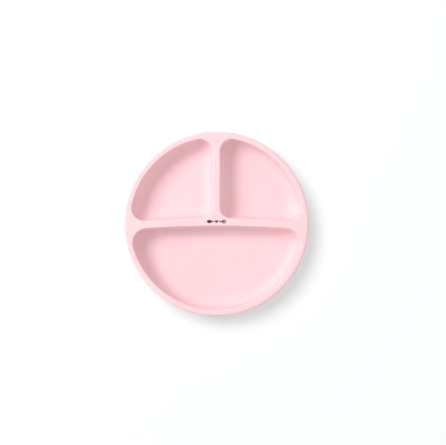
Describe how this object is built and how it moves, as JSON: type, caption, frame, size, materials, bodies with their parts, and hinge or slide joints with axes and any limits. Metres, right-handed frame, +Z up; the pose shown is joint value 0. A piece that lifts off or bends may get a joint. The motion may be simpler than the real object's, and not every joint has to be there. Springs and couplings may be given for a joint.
{
  "type": "divided suction plate",
  "caption": "Round soft silicone child's plate, divided into compartments by low walls, on a broad suction cup with a release tongue.",
  "frame": {"origin": "on the table under the middle of the plate, at the underside of the suction cup's lip", "axes": "+Z up; +Y towards the two small compartments, so the large compartment and the release tongue are at -Y; +X to the right with +Y ahead"},
  "size_m": [0.185, 0.185, 0.0322],
  "materials": {
    "plate_silicone": "matte moulded silicone, light pink",
    "cup_silicone": "satin moulded silicone, light pink",
    "ink": "matte dark brown print"
  },
  "bodies": {
    "cup": {"suction_cup": "cup_silicone"},
    "plate": {"plate": "plate_silicone", "printed_mark": "ink"},
    "tongue": {"release_tongue": "cup_silicone"}
  },
  "joints": [
    {"name": "press_down", "type": "slide", "parent": "cup", "child": "plate", "axis": [0, 0, -1], "range_m": [0, 0.0025], "stiffness_N_per_m": 8000, "springref_m": -0.002, "deforming": ["suction_cup"]},
    {"name": "release_tongue_lift", "type": "hinge", "parent": "cup", "child": "tongue", "pos_m": [0, -0.057, 0.0012], "axis": [-1, 0, 0], "range_deg": [0, 12], "stiffness_Nm_per_rad": 0.05, "springref_deg": -11.46}
  ]
}
